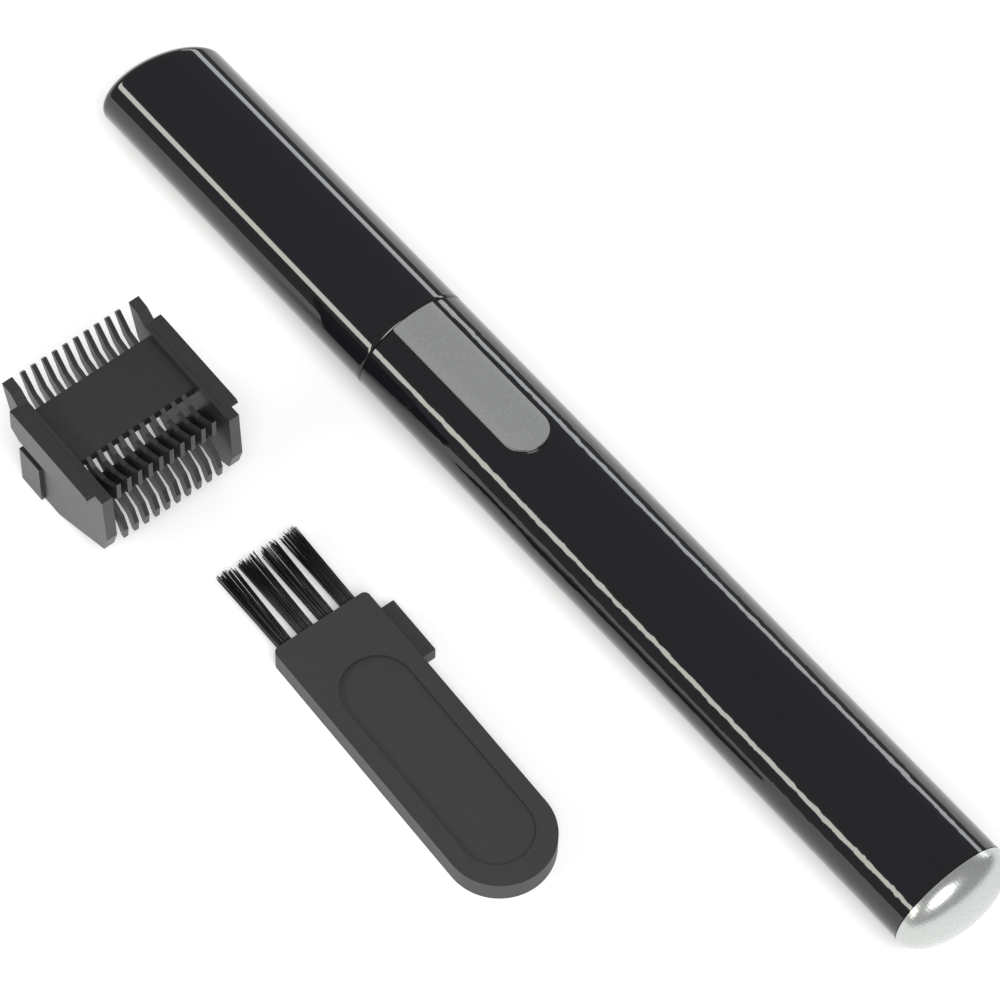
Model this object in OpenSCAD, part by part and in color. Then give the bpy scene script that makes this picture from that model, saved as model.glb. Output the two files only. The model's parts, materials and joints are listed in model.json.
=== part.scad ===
/* [Barrel] */
// Width of the oval barrel across its flat sides
barrel_w = 16.4; // [15:0.1:18]
// Height of the oval barrel
barrel_h = 12.5; // [12.4:0.1:13.6]
// Overall length, from the tip of the cap to the tip of the end dome
overall_len = 154.4; // [150:0.1:160]
// Length of the black cap, to the top of its dome
cap_len = 52.5; // [50:0.1:56]
// Wall of the battery housing
housing_wall = 0.9; // [0.8:0.05:1]
// Wall of the cap
cap_wall = 1.0; // [0.8:0.05:1.1]
// Depth of the silver end dome
dome_depth = 4.4; // [3:0.1:6]
// Depth of the shallow dome that closes the cap
cap_dome_depth = 2.9; // [2:0.1:4]

/* [Switch] */
// Width of the sliding switch plate
switch_w = 6.2; // [5:0.1:7]
// Length of the sliding switch plate
switch_len = 24.1; // [20:0.1:26]
// How far the plate stands above the barrel
switch_rise = 0.55; // [0.4:0.05:0.8]
// How far the switch slides
switch_travel = 3; // [2:0.1:3.4]

/* [Head] */
// Width of the blades
blade_w = 12.6; // [11:0.1:12.8]
// Blade tip's distance in front of the housing's mouth
blade_reach = 36; // [34:0.1:38]
// How far the moving blade swings to each side
blade_swing = 0.7; // [0.4:0.05:0.8]
// Distance between two blade teeth
blade_pitch = 0.9; // [0.8:0.05:1.2]

/* [Motor and battery] */
// Diameter of the motor can
motor_d = 7.6; // [6:0.1:7.8]
// Length of the motor can
motor_len = 17.5; // [15:0.1:18]
// Diameter of the AAA cell
cell_d = 10.5; // [9.8:0.1:10.5]
// Length of the AAA cell with its nub
cell_len = 44.5; // [43:0.1:44.5]

/* [Guide comb] */
// Number of teeth in each row of the guide comb
comb_teeth = 10; // [8:1:10]
// Distance between two comb teeth
comb_pitch = 1.57; // [1.5:0.01:1.6]
// Thickness of a comb tooth
comb_tooth_t = 0.62; // [0.5:0.02:0.8]
// Outer width of the comb's side walls
comb_w = 20.3; // [20:0.1:21]
// Turn of the comb on the table, in degrees
comb_yaw = -1.6; // [-5:0.1:5]

/* [Brush] */
// Length of the brush's handle
brush_len = 42.5; // [38:0.1:44]
// Width of the brush's handle
brush_w = 13.9; // [12:0.1:15]
// Thickness of the brush's handle
brush_t = 3.3; // [3:0.1:4]
// Length of the bristles that shows
bristle_len = 13.1; // [10:0.1:14]
// Number of bristle tufts
tuft_count = 4; // [3:1:4]
// Turn of the brush on the table, in degrees
brush_yaw = -2.7; // [-5:0.1:5]

/* [Hidden] */

$fn = 96;
// Small overlap that makes cuts and unions clean
eps = 0.05;
// The barrel's axis, and its two ends, with the whole set centred on the origin
axis_y = 19.8;
axis_z = barrel_h / 2;
far_x = -overall_len / 2;
seam_x = far_x + cap_len;
dome_x = overall_len / 2 - dome_depth;
// Half sizes of the barrel's oval, outside and inside
out_y = barrel_w / 2;
out_z = barrel_h / 2;
in_y = out_y - housing_wall;
in_z = out_z - housing_wall;
cap_in_y = out_y - cap_wall;
cap_in_z = out_z - cap_wall;
// Steps along each dome's curve, the silver dome's straight rim, and the solid depth of the cap's end
dome_steps = 24;
dome_rim = 0.5;
cap_floor = 6.2;
// Running gap between parts that slide in one another
slide_gap = 0.1;

// Head: the blades' levels, measured from the axis
tip_x = seam_x - blade_reach;
fixed_blade_z = 0.9;
blade_t = 0.6;
blade_gap = 0.05;
blade_len = 17;
moving_blade_len = 10;
moving_blade_w = blade_w - 1.8;
tooth_depth = 2.2;
slot_w = 0.45;
neck_len = 14;
tray_x = seam_x - neck_len;
tray_w = 12.2;
arm_w = 3.2;
arm_t = 1.2;
arm_z = fixed_blade_z - blade_gap - blade_t - arm_t;
screw_x = tip_x + 14.4;
screw_y = 4.4;

// Drive: the eccentric's pin turns in the arm's fork, which is wide enough for any pair of their positions
motor_x = seam_x + 12.7;
shaft_r = 0.5;
bushing_gap = 0.05;
cam_x = motor_x - 5.2;
cam_r = 2;
cam_len = 2.8;
pin_r = 0.5;
pin_len = 3;
fork_gap = pin_r + 2 * blade_swing + 0.2;
fork_wall = 0.9;
fork_len = 3.4;

// Battery bay
cell_x = motor_x + 23;
cell_r = cell_d / 2;
nub_len = 1;
strip_y = -in_y + 0.35;
plug_len = 10;
plug_x = dome_x - plug_len;
spring_wire_r = 0.3;
spring_turns = 5;

// Switch: the carrier runs between the motor and the housing's roof
switch_x = seam_x + 0.1;
stem_x = seam_x + 10.7;
stem_len = 5;
stem_w = 2.4;
carrier_z = motor_d / 2 + 0.15;
carrier_t = 0.95;

// Comb: heights of its plate and rows, and the run of each outline, seen from its side
comb_x = -35.3;
comb_y = -16.5;
comb_wall = 1.5;
comb_in = comb_w / 2 - comb_wall;
comb_plate = [[-6.7, 12.8], [2.5, 12.8], [2.5, 14.2], [-6.7, 14.2]];
comb_side = [[-10.4, 17.4], [-8.9, 11.5], [-7, 7.6], [-6.2, 0], [-0.3, 0], [9.3, 4.7], [10.1, 7.7],
    [9.7, 15.9],
    [8, 15.8], [-7.2, 15.8], [-8.6, 17.1]];
comb_rail = [[-7.5, 15.8], [-7.6, 12], [-6, 10.8], [0, 10.9], [4.4, 12.5], [8.1, 15.5], [7.7, 15.9],
    [-6.6, 15.9]];
comb_rail_w = 1.1;
comb_upper_tooth = [[1.6, 12.9], [4.4, 10.5], [7.1, 11.1], [8.8, 12.9], [8.8, 16.1], [8, 14.7], [5.7,
    13.3],
    [3.8, 13.3], [2.4, 14.2], [1.6, 14.1]];
comb_lower_tooth = [[2.8, 7], [6, 7.8], [8.1, 6.9], [9.1, 4.8], [9.6, 4.8], [9.8, 6.8], [9, 8.8], [7.1,
    10.2],
    [4.9, 10.1], [2.8, 9]];
comb_far_tooth = [[-6.4, 14.1], [-8.3, 14.6], [-10.4, 17], [-10.8, 16.6], [-9.2, 13.3], [-7.1, 11.5],
    [-6.4, 12.8]];
comb_front_bar = [[2.7, 6.9], [5.6, 7.6], [5.6, 9.6], [2.7, 9.1]];
comb_back_bar = [[-6.4, 4], [-4.9, 4], [-4.9, 9], [-6.6, 9]];
comb_clip_len = 4;

// Brush: distances along the handle from its head end
brush_x = -2.9;
brush_y = -12.6;
head_corner_r = 0.8;
recess_start = 7.1;
recess_end = 39.6;
recess_w = 9.4;
recess_depth = 0.5;
tab_start = 2.6;
tab_len = 8.4;
tab_out = 2.2;
tab_t = 2.2;
tuft_span = 11.4;
tuft_root_w = 2;
tuft_t = 1.6;
tuft_inset = 3;

// Turns a shape drawn across the barrel into one that runs along it from x0
module along(x0) translate([x0, axis_y, axis_z]) rotate([90, 0, 90]) children();

// An oval bar along the barrel from x0 to x1, with half sizes ry and rz
module oval(x0, x1, ry, rz) along(x0) linear_extrude(x1 - x0) scale([1, rz / ry]) circle(r = ry);

// An oval tube along the barrel
module oval_tube(x0, x1, ry, rz, ry_in, rz_in) difference() {
    oval(x0, x1, ry, rz);
    oval(x0 - eps, x1 + eps, ry_in, rz_in);
}

// A round bar along the barrel's axis, moved off it by dy and dz
module rod(x0, x1, r, dy = 0, dz = 0) along(x0) translate([dy, dz, 0]) cylinder(r = r, h = x1 - x0);

// A box from its low corner, measured from the barrel's axis, to its high corner
module block(low, high) translate([low[0], axis_y + low[1], axis_z + low[2]]) cube(high - low);

// A block as wide as w, centred on the barrel's axis
module bar(x0, x1, w, z0, z1) block([x0, -w / 2, z0], [x1, w / 2, z1]);

// A solid turned about the barrel's axis from x0 and flattened; its outline gives radius and distance
module turned(x0) translate([x0, axis_y, axis_z]) scale([1, 1, out_z / out_y]) rotate([0, 90, 0])
    rotate_extrude() children();

// Teeth cut into a blade's front edge
module tooth_slots(w, x, z0, z1) {
    n = floor(w / blade_pitch / 2) - 1;
    for (i = [-n : n]) block([x - eps, i * blade_pitch - slot_w / 2, z0], [x + tooth_depth,
        i * blade_pitch + slot_w / 2, z1]);
}

// The switch plate's outline, seen from above
module switch_outline() {
    r = switch_w / 2;
    translate([switch_x + switch_len - r, axis_y]) circle(r = r);
    translate([switch_x, axis_y - r]) square([switch_len - r, 2 * r]);
}

// A side view of the comb, thickness t, centred at v across it
module comb_slice(outline, v, t) translate([0, v + t / 2, 0]) rotate([90, 0, 0]) linear_extrude(t)
    polygon(outline);

module on_comb() translate([comb_x, comb_y, 0]) rotate([0, 0, comb_yaw]) children();
module on_brush() translate([brush_x, brush_y, 0]) rotate([0, 0, brush_yaw]) children();

// Points of a round wire of radius r swept along path, and the mesh round it
function ring(p, r, n = 8) = [for (k = [0 : n - 1]) p + r * [cos(k * 360 / n), 0, 0]
    + r * sin(k * 360 / n) * unit([0, p[1], p[2]])];
function unit(v) = v / norm(v);
module wire(path, r) {
    n = 8;
    m = len(path);
    points = [for (p = path) each ring(p, r, n)];
    sides = [for (i = [0 : m - 2], k = [0 : n - 1])
        [i * n + k, i * n + (k + 1) % n, (i + 1) * n + (k + 1) % n, (i + 1) * n + k]];
    ends = [[for (k = [n - 1 : -1 : 0]) k], [for (k = [0 : n - 1]) (m - 1) * n + k]];
    polyhedron(points, concat(sides, ends), convexity = 6);
}

// Black tube that holds the motor and the cell, with a slot for the switch's stem
module housing() color("#15161a") difference() {
    oval_tube(seam_x, dome_x, out_y, out_z, in_y, in_z);
    bar(stem_x - 0.3, stem_x + stem_len + switch_travel + 0.3, stem_w + 0.3, in_z / 2, out_z + 1);
}

// Pull-off cap: an oval cup whose closed end is a shallow dome
module cap() color("#15161a") {
    mouth = cap_len - slide_gap;
    dome = [for (i = [0 : dome_steps]) let (a = 90 * i / dome_steps)
        [out_y * sin(a), cap_dome_depth * (1 - cos(a))]];
    bore = [[out_y, mouth], [cap_in_y, mouth], [cap_in_y, cap_floor], [0, cap_floor]];
    turned(far_x) polygon(concat(dome, bore));
}

// Fixed collar that closes the housing's mouth and that the cap slides over
module neck() color("#202124") difference() {
    union() {
        oval(seam_x + slide_gap, seam_x + 7, in_y - slide_gap / 2, in_z - slide_gap / 2);
        oval(seam_x - 7, seam_x + slide_gap, cap_in_y - slide_gap, cap_in_z - slide_gap);
        oval(seam_x - neck_len, seam_x - 6.9, 6.4, 4.6);
    }
    oval(seam_x - neck_len - eps, seam_x + 7 + eps, 4.9, 3.5);
    oval_tube(seam_x - 4.4, seam_x - 3, out_y, out_z, 6.6, 4.65);
}

// Rubber ring that holds the cap on the collar
module neck_o_ring() color("#101010") oval_tube(seam_x - 4.3, seam_x - 3.1, cap_in_y - 0.03,
    cap_in_z - 0.03, 6.65, 4.7);

// Open tray that carries the blades
module head_tray() color("#202124") difference() {
    intersection() {
        bar(tip_x + 1.6, tray_x, tray_w, -3, fixed_blade_z);
        oval(tip_x, tray_x + eps, 6.85, 4.9);
    }
    bar(tip_x - eps, tip_x + moving_blade_len + 1.2, moving_blade_w + 2 * blade_swing + 0.5, -1.1,
        fixed_blade_z + eps);
    bar(tip_x - eps, tray_x + 1, arm_w + 2 * blade_swing + 1, -1.9, fixed_blade_z + eps);
    for (s = [-1, 1]) translate([screw_x, axis_y + s * screw_y, axis_z - 2]) cylinder(r = 0.5, h = 4);
}

// Cover over the blades' tail and the mouth of the collar
module head_cover() color("#202124") difference() {
    intersection() {
        bar(tray_x - 7.4, tray_x, tray_w, fixed_blade_z, 3.4);
        oval(tip_x, tray_x + eps, 6.6, 4.3);
    }
    bar(tray_x - 8, tray_x - 3.9, blade_w + 0.4, fixed_blade_z - eps,
        fixed_blade_z + blade_t + slide_gap);
    bar(tray_x - 8, tray_x + 1, arm_w + 2 * blade_swing + 1, fixed_blade_z - eps, 1.3);
    for (s = [-1, 1]) translate([screw_x, axis_y + s * screw_y, axis_z + 1]) cylinder(r = 1.2, h = 1.3);
}

// Two screws that hold the fixed blade on the tray
module head_screws() color("silver") for (s = [-1, 1])
    translate([screw_x, axis_y + s * screw_y, axis_z]) difference() {
    union() {
        translate([0, 0, -1.6]) cylinder(r = 0.45, h = fixed_blade_z + blade_t + 1.6);
        translate([0, 0, fixed_blade_z + blade_t]) cylinder(r = 1.05, h = 0.6);
    }
    translate([-0.8, -0.12, fixed_blade_z + blade_t + 0.3]) cube([1.6, 0.24, 1]);
}

// Upper blade, which stays still
module fixed_blade() color("silver") difference() {
    bar(tip_x, tip_x + blade_len, blade_w, fixed_blade_z, fixed_blade_z + blade_t);
    tooth_slots(blade_w, tip_x, fixed_blade_z - eps, fixed_blade_z + blade_t + eps);
    for (s = [-1, 1]) translate([screw_x, axis_y + s * screw_y, axis_z]) cylinder(r = 0.5, h = 4);
}

// Lower blade, which swings from side to side
module moving_blade() color("silver") {
    z1 = fixed_blade_z - blade_gap;
    difference() {
        bar(tip_x + 0.3, tip_x + moving_blade_len, moving_blade_w, z1 - blade_t, z1);
        tooth_slots(moving_blade_w, tip_x + 0.3, z1 - blade_t - eps, z1 + eps);
    }
}

// Arm that carries the moving blade, with the fork that the eccentric's pin turns in
module drive_arm() color("ivory") {
    fork_x = cam_x - pin_len - 0.2;
    z1 = arm_z + arm_t;
    bar(tip_x + 4, tip_x + moving_blade_len, 8, arm_z, z1);
    bar(tip_x + moving_blade_len - eps, fork_x - 1.2, arm_w, arm_z, z1);
    bar(fork_x - 1.4, fork_x - 0.2, 2 * (fork_gap + fork_wall), -1.4, 1.4);
    for (s = [-1, 1]) block([fork_x - 0.3, s > 0 ? fork_gap : -fork_gap - fork_wall, -1.4],
        [fork_x + fork_len - 0.6, s > 0 ? fork_gap + fork_wall : -fork_gap, 1.4]);
}

// Leaf spring that presses the moving blade up
module blade_spring() color("silver") {
    bar(tip_x + 4.5, tip_x + 12, 2.4, arm_z - 0.45, arm_z - 0.2);
    bar(tip_x + 11.8, tip_x + 12.2, 2.4, -1.88, arm_z - 0.2);
}

// Cam on the motor's shaft, with its off-centre pin
module eccentric() color("ivory") {
    difference() {
        rod(cam_x, cam_x + cam_len, cam_r);
        rod(cam_x + 0.5, cam_x + cam_len + eps, shaft_r);
    }
    rod(cam_x - pin_len, cam_x + eps, pin_r, blade_swing, 0);
}

module motor_shaft() color("silver") rod(cam_x + 0.5, motor_x + motor_len + 0.6, shaft_r);

// Three-pole rotor, drawn as three round lobes round the shaft
module armature() color("#b0622a") difference() {
    union() {
        rod(motor_x + 2.4, motor_x + 12, 1.3);
        for (a = [0, 120, 240]) rod(motor_x + 2.6, motor_x + 11.8, 0.95, 1.25 * cos(a), 1.25 * sin(a));
    }
    rod(motor_x, motor_x + 13, shaft_r);
}

module commutator() color("#b87333") difference() {
    rod(motor_x + 12.8, motor_x + 15.4, 1);
    rod(motor_x + 12, motor_x + 16, shaft_r);
}

module motor_can() color("silver") difference() {
    rod(motor_x, motor_x + motor_len, motor_d / 2);
    rod(motor_x + 0.6, motor_x + motor_len + eps, motor_d / 2 - 0.35);
    rod(motor_x - 1, motor_x + 1, 1.3);
}

// Two curved magnets inside the can
module motor_magnets() color("#3a3a3c") intersection() {
    difference() {
        rod(motor_x + 1.6, motor_x + 12.4, motor_d / 2 - 0.4);
        rod(motor_x + 1.5, motor_x + 12.5, motor_d / 2 - 1.1);
    }
    bar(motor_x, motor_x + motor_len, motor_d + 1, -2, 2);
}

module front_bushing() color("#b5903a") difference() {
    rod(motor_x - 0.7, motor_x + 1.2, 1.25);
    rod(motor_x - 1, motor_x + 2, shaft_r + bushing_gap);
}

// Plastic bell that closes the can and holds the motor's brushes
module motor_end_bell() color("white") difference() {
    union() {
        rod(motor_x + motor_len - 0.8, motor_x + motor_len, motor_d / 2 - 0.4);
        rod(motor_x + motor_len, motor_x + motor_len + 1.2, motor_d / 2);
    }
    rod(motor_x + motor_len - 1, motor_x + motor_len + 0.7, shaft_r + bushing_gap);
    for (s = [-1, 1]) bar_at(motor_x + motor_len - 1, motor_x + motor_len + 2, s * 2.6, 1.1, 0.5);
}

// A small upright block of width w and thickness t at y = dy
module bar_at(x0, x1, dy, w, t) block([x0, dy - t / 2, -w / 2], [x1, dy + t / 2, w / 2]);

// Two leaf brushes beside the commutator
module motor_brushes() color("#b87333") for (s = [-1, 1])
    bar_at(motor_x + 13, motor_x + motor_len - 0.85, s * 1.35, 0.9, 0.25);

// Two solder tabs through the end bell
module motor_terminals() color("#b5903a") for (s = [-1, 1])
    bar_at(motor_x + motor_len - 0.6, motor_x + motor_len + 1.9, s * 2.6, 0.9, 0.35);

// Moulded frame inside the housing: it cradles the motor and the cell, and leaves the switch its run
module chassis() color("#2b2c30") difference() {
    oval(seam_x + 7.1, plug_x - 0.4, in_y - 0.06, in_z - 0.06);
    rod(motor_x, cell_x - 3.4, motor_d / 2 + 0.05);
    oval(seam_x + 7, motor_x + eps, 4.9, 3.5);
    rod(cell_x - 1.8, plug_x + 1, cell_r + 0.06);
    bar(cell_x - 3.5, cell_x - 1.7, 5.2, -1.8, 1.8);
    bar(stem_x - 2.2, stem_x + stem_len + 11.5, 5.4, 2, in_z + 1);
    bar(seam_x + 7, plug_x, 14, -in_z - 1, -in_z + 1.1);
    block([cell_x - 1.5, -in_y - 1, -1.2], [plug_x, strip_y + 0.4, 1.2]);
}

// AAA cell: its can, and the nub at its positive end
module cell_can() color("#3c6e3c") rod(cell_x + nub_len, cell_x + cell_len, cell_r);
module cell_nub() color("silver") rod(cell_x, cell_x + nub_len, 1.9);

module positive_contact() color("#b5903a") bar(cell_x - 0.55, cell_x - 0.1, 5, -1.6, 1.6);

// Brass strip along the cell, from the plug's end of the bay to the motor's
module contact_strip() color("#b5903a") block([cell_x - 1.2, strip_y - 0.15, -1], [plug_x - 0.2,
    strip_y + 0.15, 1]);

// Silver plate that the thumb slides, curved like the barrel, with a raised border and two cross ribs
module switch_plate() color("silver") {
    difference() {
        intersection() {
            oval_tube(switch_x, switch_x + switch_len, out_y + switch_rise, out_z + switch_rise,
                out_y + 0.12, out_z + 0.12);
            translate([0, 0, axis_z]) linear_extrude(barrel_h) switch_outline();
        }
        for (x = [[0.8, 4.4], [5.2, 16.9], [17.7, 20.4]])
            bar(switch_x + x[0], switch_x + x[1], switch_w - 1.6,
            out_z + switch_rise - 0.16, out_z + 2);
    }
    bar(stem_x, stem_x + stem_len, stem_w, carrier_z + carrier_t, out_z + 0.3);
}

// Slider under the housing's roof, clipped to the plate's stem
module switch_carrier() color("#2b2c30") bar(stem_x - 1.6, stem_x + stem_len + 1.6, 4, carrier_z,
    carrier_z + carrier_t);

module switch_wiper() color("#b5903a") bar(stem_x + stem_len + 1.6, stem_x + stem_len + 5.2, 2.6,
    carrier_z + 0.45, carrier_z + 0.7);

module switch_contact() color("#b5903a") bar(stem_x + stem_len + 5.6, stem_x + stem_len + 11, 2.6,
    carrier_z + 0.05, carrier_z + 0.3);

// Silver dome at the battery end, on a short straight rim
module end_cap() color("silver") {
    dome = [for (i = [0 : dome_steps]) let (a = 90 * i / dome_steps)
        [out_y * cos(a), dome_rim + (dome_depth - dome_rim) * sin(a)]];
    turned(dome_x) polygon(concat([[0, slide_gap], [out_y, slide_gap]], dome));
}

// Hollow plug that holds the dome in the housing
module end_plug() color("#202124") difference() {
    oval(plug_x, dome_x + slide_gap, in_y - slide_gap, in_z - slide_gap);
    oval(plug_x - eps, dome_x - 1.6, in_y - 1.6, in_z - 1.6);
    oval_tube(dome_x - 4.4, dome_x - 3, out_y, out_z, in_y - 0.7, in_z - 0.7);
}

module end_plug_o_ring() color("#101010")
    oval_tube(dome_x - 4.3, dome_x - 3.1, in_y - 0.03, in_z - 0.03, in_y - 0.65, in_z - 0.65);

// Contact plate at the bottom of the plug
module end_contact() color("#b5903a") rod(dome_x - 2.1, dome_x - 1.6, 3.6);

// Cone-shaped spring between the contact plate and the cell
module cell_spring() color("silver") {
    x0 = cell_x + cell_len + 0.35;
    x1 = dome_x - 2.45;
    steps = spring_turns * 14;
    path = [for (i = [0 : steps]) let (t = i / steps, a = 360 * spring_turns * t, r = 2.2 + 1.2 * t)
        [x0 + (x1 - x0) * t, r * cos(a), r * sin(a)]];
    translate([0, axis_y, axis_z]) wire(path, spring_wire_r);
}

// Slip-on guide comb, one moulding: a plate between two side walls, with rows of teeth at both ends
module guide_comb() color("#2d2e2e") on_comb() {
    span = 2 * comb_in + eps;
    comb_slice(comb_plate, 0, span + 2);
    comb_slice(comb_front_bar, 0, span);
    comb_slice(comb_back_bar, 0, span);
    for (s = [-1, 1]) {
        comb_slice(comb_side, s * (comb_in + comb_wall / 2), comb_wall);
        comb_slice(comb_rail, s * (comb_w / 2 + comb_rail_w / 2 - 0.4), comb_rail_w + 0.8);
    }
    for (i = [0 : comb_teeth - 1]) let (v = (i - (comb_teeth - 1) / 2) * comb_pitch) {
        comb_slice(comb_upper_tooth, v, comb_tooth_t);
        comb_slice(comb_lower_tooth, v, comb_tooth_t);
        comb_slice(comb_far_tooth, v, comb_tooth_t);
    }
    translate([-7.2, -comb_w / 2 - 0.5, 0]) cube([comb_clip_len, 1, 7]);
}

// Flat handle of the cleaning brush: square head, round end, a side tab and a shallow thumb recess
module brush_handle() color("#363836") on_brush() difference() {
    union() {
        linear_extrude(brush_t) {
            translate([brush_len - brush_w / 2, 0]) circle(d = brush_w);
            translate([head_corner_r, -brush_w / 2])
                square([brush_len - brush_w / 2 - head_corner_r, brush_w]);
            translate([0, -brush_w / 2 + head_corner_r])
                square([2 * head_corner_r, brush_w - 2 * head_corner_r]);
            for (s = [-1, 1]) translate([head_corner_r, s * (brush_w / 2 - head_corner_r)])
                circle(r = head_corner_r, $fn = 32);
        }
        translate([tab_start, brush_w / 2 - 1, 0]) cube([tab_len, tab_out + 1, tab_t]);
    }
    translate([0, 0, brush_t - recess_depth]) linear_extrude(2) {
        for (x = [recess_start + recess_w / 2, recess_end - recess_w / 2]) translate([x, 0])
            circle(d = recess_w);
        translate([recess_start + recess_w / 2, -recess_w / 2])
            square([recess_end - recess_start - recess_w, recess_w]);
    }
    for (i = [0 : tuft_count - 1]) tuft_socket(i);
}

// Middle of tuft i across the head
function tuft_y(i) = (i - (tuft_count - 1) / 2) * (tuft_span - tuft_root_w) / (tuft_count - 1);

module tuft_socket(i) translate([-eps, tuft_y(i) - tuft_root_w / 2, (brush_t - tuft_t) / 2])
    cube([tuft_inset + eps, tuft_root_w, tuft_t]);

// Four nylon tufts, each a wedge that widens towards its tip
module brush_bristles() color("#151515") on_brush() for (i = [0 : tuft_count - 1])
    translate([0, tuft_y(i), (brush_t - tuft_t) / 2 + 0.02]) linear_extrude(tuft_t - 0.04)
        polygon([[tuft_inset - 0.02, -tuft_root_w / 2 + 0.02], [tuft_inset - 0.02,
            tuft_root_w / 2 - 0.02],
            [0, tuft_root_w / 2 - 0.02], [-bristle_len, tuft_root_w * 0.62], [-bristle_len,
                -tuft_root_w * 0.62],
            [0, -tuft_root_w / 2 + 0.02]]);

housing();
cap();
neck();
neck_o_ring();
head_tray();
head_cover();
head_screws();
fixed_blade();
moving_blade();
drive_arm();
blade_spring();
eccentric();
motor_shaft();
armature();
commutator();
motor_can();
motor_magnets();
front_bushing();
motor_end_bell();
motor_brushes();
motor_terminals();
chassis();
cell_can();
cell_nub();
positive_contact();
contact_strip();
switch_plate();
switch_carrier();
switch_wiper();
switch_contact();
end_cap();
end_plug();
end_plug_o_ring();
end_contact();
cell_spring();
guide_comb();
brush_handle();
brush_bristles();
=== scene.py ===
"""A nose hair trimmer with its guide comb and cleaning brush, on a pale floor."""

import json
import math
import random

import bmesh
import bpy
from mathutils import Matrix, Vector


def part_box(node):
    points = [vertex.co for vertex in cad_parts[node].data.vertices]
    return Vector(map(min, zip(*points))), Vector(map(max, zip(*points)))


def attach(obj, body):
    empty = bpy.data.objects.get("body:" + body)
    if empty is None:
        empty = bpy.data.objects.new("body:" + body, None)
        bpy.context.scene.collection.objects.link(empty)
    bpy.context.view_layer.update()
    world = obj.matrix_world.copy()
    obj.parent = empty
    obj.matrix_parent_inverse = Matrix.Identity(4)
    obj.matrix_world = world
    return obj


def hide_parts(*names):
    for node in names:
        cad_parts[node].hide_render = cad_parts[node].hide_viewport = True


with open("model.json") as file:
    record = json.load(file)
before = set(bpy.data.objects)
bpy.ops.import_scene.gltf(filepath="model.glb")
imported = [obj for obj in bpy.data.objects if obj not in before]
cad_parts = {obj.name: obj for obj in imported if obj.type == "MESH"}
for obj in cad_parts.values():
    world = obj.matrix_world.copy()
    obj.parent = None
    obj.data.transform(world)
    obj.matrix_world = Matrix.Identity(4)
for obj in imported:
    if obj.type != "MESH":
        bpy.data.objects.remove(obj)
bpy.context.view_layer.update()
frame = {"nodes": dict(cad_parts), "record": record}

MM = 0.001
RING_STEPS = 96


# ---------- materials ----------

def material(name, colour, roughness, metallic=0.0, coat=0.0, grain=900.0, bump=0.02, spread=0.12):
    """A moulded or metal surface: its colour, gloss and fine relief all vary a little with noise."""
    mat = bpy.data.materials.new(name)
    mat.use_nodes = True
    tree = mat.node_tree
    shader = tree.nodes["Principled BSDF"]
    shader.inputs["Metallic"].default_value = metallic
    shader.inputs["Coat Weight"].default_value = coat
    shader.inputs["Coat Roughness"].default_value = 0.03
    coords = tree.nodes.new("ShaderNodeTexCoord")
    noise = tree.nodes.new("ShaderNodeTexNoise")
    noise.inputs["Scale"].default_value = grain
    noise.inputs["Detail"].default_value = 6
    ramp = tree.nodes.new("ShaderNodeValToRGB")
    for element, factor in zip(ramp.color_ramp.elements, (1 - spread, 1 + spread)):
        element.color = [min(1, c * factor) for c in colour] + [1]
    gloss = tree.nodes.new("ShaderNodeMapRange")
    gloss.inputs["To Min"].default_value = roughness * (1 - spread)
    gloss.inputs["To Max"].default_value = roughness * (1 + spread)
    relief = tree.nodes.new("ShaderNodeBump")
    relief.inputs["Strength"].default_value = bump
    relief.inputs["Distance"].default_value = 0.05 * MM
    link = tree.links.new
    link(coords.outputs["Object"], noise.inputs["Vector"])
    link(noise.outputs["Fac"], ramp.inputs["Fac"])
    link(noise.outputs["Fac"], gloss.inputs["Value"])
    link(noise.outputs["Fac"], relief.inputs["Height"])
    link(ramp.outputs["Color"], shader.inputs["Base Color"])
    link(gloss.outputs["Result"], shader.inputs["Roughness"])
    link(relief.outputs["Normal"], shader.inputs["Normal"])
    return mat


LOOKS = {
    "gloss_black": material("gloss_black", (0.006, 0.0065, 0.008), 0.06, coat=0.4, bump=0.004),
    "matte_black": material("matte_black", (0.02, 0.02, 0.022), 0.5, bump=0.1),
    "seal_rubber": material("seal_rubber", (0.01, 0.01, 0.01), 0.7, bump=0.1),
    "steel": material("steel", (0.62, 0.62, 0.6), 0.28, metallic=1.0, bump=0.03),
    "white_plastic": material("white_plastic", (0.75, 0.74, 0.68), 0.4, bump=0.05),
    "copper": material("copper", (0.6, 0.28, 0.14), 0.35, metallic=1.0, bump=0.1),
    "magnet": material("magnet", (0.05, 0.05, 0.055), 0.6, bump=0.3),
    "contact_brass": material("contact_brass", (0.62, 0.46, 0.2), 0.25, metallic=1.0),
    "cell_jacket": material("cell_jacket", (0.06, 0.17, 0.07), 0.3),
    "satin_silver": material("satin_silver", (0.58, 0.6, 0.58), 0.27, metallic=0.75, coat=0.2, grain=2500),
    "comb_plastic": material("comb_plastic", (0.03, 0.031, 0.03), 0.36, grain=1800, bump=0.12),
    "brush_plastic": material("brush_plastic", (0.037, 0.04, 0.037), 0.5, grain=2200, bump=0.2),
    "bristle_nylon": material("bristle_nylon", (0.007, 0.007, 0.007), 0.4, grain=3000, bump=0.05),
}
SLOT_OF = {part["node"]: part["material_slot"] for part in frame["record"]["subparts"]}


def dress_cad_nodes():
    for node, piece in frame["nodes"].items():
        piece.data.materials.clear()
        piece.data.materials.append(LOOKS[SLOT_OF[node]])


# ---------- pieces ----------

def new_piece(name, mesh, slot, body, *nodes):
    piece = bpy.data.objects.new(name, mesh)
    bpy.context.collection.objects.link(piece)
    mesh.materials.append(LOOKS[slot])
    for face in mesh.polygons:
        face.use_smooth = True
    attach(piece, body)
    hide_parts(*nodes)
    return piece


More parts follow.
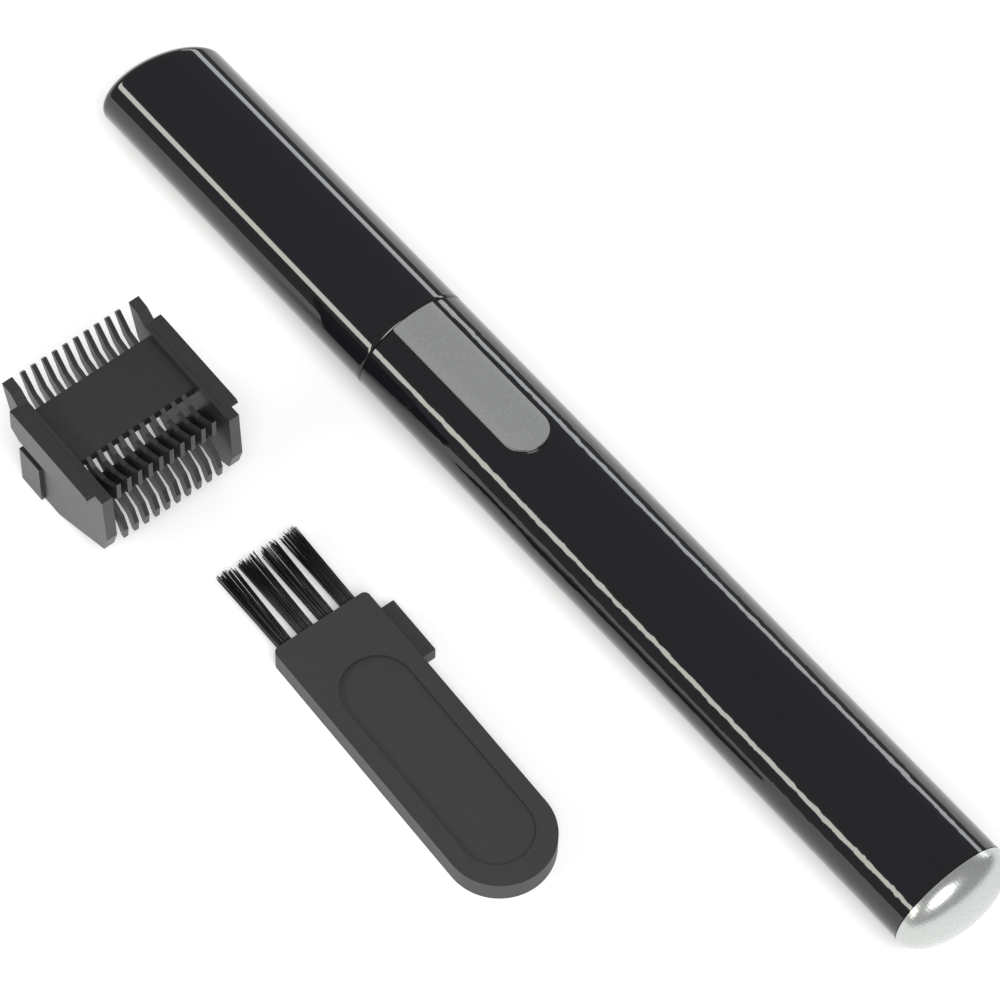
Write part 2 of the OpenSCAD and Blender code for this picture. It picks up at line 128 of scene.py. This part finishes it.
def lofted(rings):
    """A mesh through rings of points of equal length, closed at both ends."""
    bm = bmesh.new()
    loops = [[bm.verts.new(p) for p in ring] for ring in rings]
    for a, b in zip(loops, loops[1:]):
        for i in range(len(a)):
            j = (i + 1) % len(a)
            bm.faces.new((a[i], a[j], b[j], b[i]))
    bm.faces.new(loops[0])
    bm.faces.new(loops[-1])
    bmesh.ops.recalc_face_normals(bm, faces=bm.faces)
    mesh = bpy.data.meshes.new("loft")
    bm.to_mesh(mesh)
    bm.free()
    return mesh


def cap_shell():
    """The pull-off cap: an oval cup whose closed end is a slanted shallow dome."""
    low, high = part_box("cap")
    middle_y, middle_z = (low[1] + high[1]) / 2, (low[2] + high[2]) / 2
    half_y, half_z = (high[1] - low[1]) / 2, (high[2] - low[2]) / 2
    dome, slant, wall, lip = 2.89 * MM, 0.205, 1.0 * MM, 0.15 * MM
    land_x = low[0] + dome + 0.45 * MM
    inner_x = low[0] + 6.2 * MM

    def ring(ry, rz, x_at):
        angles = [2 * math.pi * i / RING_STEPS for i in range(RING_STEPS)]
        spots = [(ry * math.cos(a), rz * math.sin(a)) for a in angles]
        return [(x_at(y), middle_y + y, middle_z + z) for y, z in spots]

    rings = []
    for step in range(1, 25):
        r = math.sin(math.pi / 2 * step / 24)
        depth = dome * math.sqrt(max(0, 1 - r * r))
        rings.append(ring(r * half_y, r * half_z, lambda y, d=depth: land_x - d + slant * y))
    rings.append(ring(half_y, half_z, lambda y: land_x + 0.3 * MM + slant * y))
    rings.append(ring(half_y, half_z, lambda y: high[0] - 4 * lip))
    rings.append(ring(half_y, half_z, lambda y: high[0] - lip))
    rings.append(ring(half_y - lip, half_z - lip, lambda y: high[0]))
    rings.append(ring(half_y - wall + 0.5 * lip, half_z - wall + 0.5 * lip, lambda y: high[0]))
    rings.append(ring(half_y - wall, half_z - wall, lambda y: high[0] - lip))
    rings.append(ring(half_y - wall, half_z - wall, lambda y: high[0] - 4 * lip))
    rings.append(ring(half_y - wall, half_z - wall, lambda y: inner_x))
    new_piece("cap_shell", lofted(rings), "gloss_black", "cap", "cap")


def bristles():
    """Four tufts of tapered nylon filaments, a little uneven at their tips."""
    draw = random.Random(7)
    low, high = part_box("brush_bristles")
    yaw = Matrix.Rotation(math.radians(-2.7), 3, "Z")
    head = Vector((-2.9, -12.6, 1.65)) * MM
    tufts, filaments, length = 4, 70, 13.0
    bm = bmesh.new()
    for tuft in range(tufts):
        centre = (tuft - (tufts - 1) / 2) * 9.4 / (tufts - 1)
        for _ in range(filaments):
            across, up = draw.uniform(-0.9, 0.9), draw.uniform(-0.65, 0.65)
            reach = length - draw.uniform(0, 0.9)
            lean = across * 0.35 + draw.uniform(-0.12, 0.12)
            path = [(2.8, centre + across, up), (-0.4 * reach, centre + across + 0.4 * lean, up),
                    (-reach, centre + across + lean, up * 1.1)]
            rings = []
            for (x, y, z), radius in zip(path, (0.09, 0.09, 0.05)):
                corners = [2 * math.pi * k / 5 for k in range(5)]
                spots = [(x, y + radius * math.cos(a), z + radius * math.sin(a)) for a in corners]
                rings.append([bm.verts.new(head + yaw @ (Vector(s) * MM)) for s in spots])
            for a, b in zip(rings, rings[1:]):
                for k in range(5):
                    bm.faces.new((a[k], a[(k + 1) % 5], b[(k + 1) % 5], b[k]))
            bm.faces.new(rings[0])
            bm.faces.new(rings[-1])
    bmesh.ops.recalc_face_normals(bm, faces=bm.faces)
    mesh = bpy.data.meshes.new("bristle_filaments")
    bm.to_mesh(mesh)
    bm.free()
    new_piece("bristle_filaments", mesh, "bristle_nylon", "brush", "brush_bristles")


def soften_edges():
    """Moulded edges are never sharp: a small bevel on the plain parts that show."""
    for node, width in (("guide_comb", 0.06), ("brush_handle", 0.3), ("switch_plate", 0.05), ("housing", 0.08)):
        bevel = frame["nodes"][node].modifiers.new("soft_edges", "BEVEL")
        bevel.width = width * MM
        bevel.segments = 2
        bevel.limit_method = "ANGLE"
        bevel.angle_limit = math.radians(40)


# ---------- stage ----------

def area_light(name, direction, distance, size, energy, colour):
    light = bpy.data.lights.new(name, "AREA")
    light.shape = "RECTANGLE"
    light.size, light.size_y = size
    light.energy = energy
    light.color = colour
    lamp = bpy.data.objects.new(name, light)
    lamp.location = Vector(direction).normalized() * distance
    lamp.rotation_euler = lamp.location.to_track_quat("Z", "Y").to_euler()
    bpy.context.collection.objects.link(lamp)


def stage():
    bpy.ops.mesh.primitive_plane_add(size=6)
    floor = bpy.context.object
    floor.name = "floor"
    pale = material("pale_floor", (0.86, 0.86, 0.86), 0.9, grain=40, bump=0.0, spread=0.01)
    shader = pale.node_tree.nodes["Principled BSDF"]
    shader.inputs["Emission Color"].default_value = (1, 1, 1, 1)
    shader.inputs["Emission Strength"].default_value = 0.3
    floor.data.materials.append(pale)
    sun = bpy.data.lights.new("sky_sun", "SUN")
    sun.energy = 2.2
    sun.angle = math.radians(40)
    lamp = bpy.data.objects.new("sky_sun", sun)
    lamp.rotation_euler = Vector((0.5, -0.2, 0.84)).to_track_quat("Z", "Y").to_euler()
    bpy.context.collection.objects.link(lamp)
    area_light("side_window", (-0.375, -0.789, 0.494), 0.9, (0.9, 0.13), 3.0, (1.0, 0.98, 0.9))
    area_light("far_window", (-0.375, 0.88, 0.25), 0.9, (0.8, 0.12), 1.2, (0.95, 0.98, 1.0))
    world = bpy.data.worlds.new("studio")
    world.use_nodes = True
    world.node_tree.nodes["Background"].inputs["Color"].default_value = (0.25, 0.25, 0.26, 1)
    bpy.context.scene.world = world
    bpy.context.scene.view_settings.view_transform = "Standard"


def camera():
    right = Vector((0.64364, 0.76503, 0.02129))
    up = Vector((-0.66722, 0.54729, 0.50526))
    back = right.cross(up).normalized()
    lens = bpy.data.cameras.new("camera")
    lens.lens = 189.36
    lens.sensor_width = 36
    eye = bpy.data.objects.new("camera", lens)
    turn = Matrix((right, up, back)).transposed()
    eye.matrix_world = Matrix.Translation(Vector((237.60, -201.99, 554.49)) * MM) @ turn.to_4x4()
    bpy.context.collection.objects.link(eye)
    bpy.context.scene.camera = eye


dress_cad_nodes()
cap_shell()
bristles()
soften_edges()
stage()
camera()
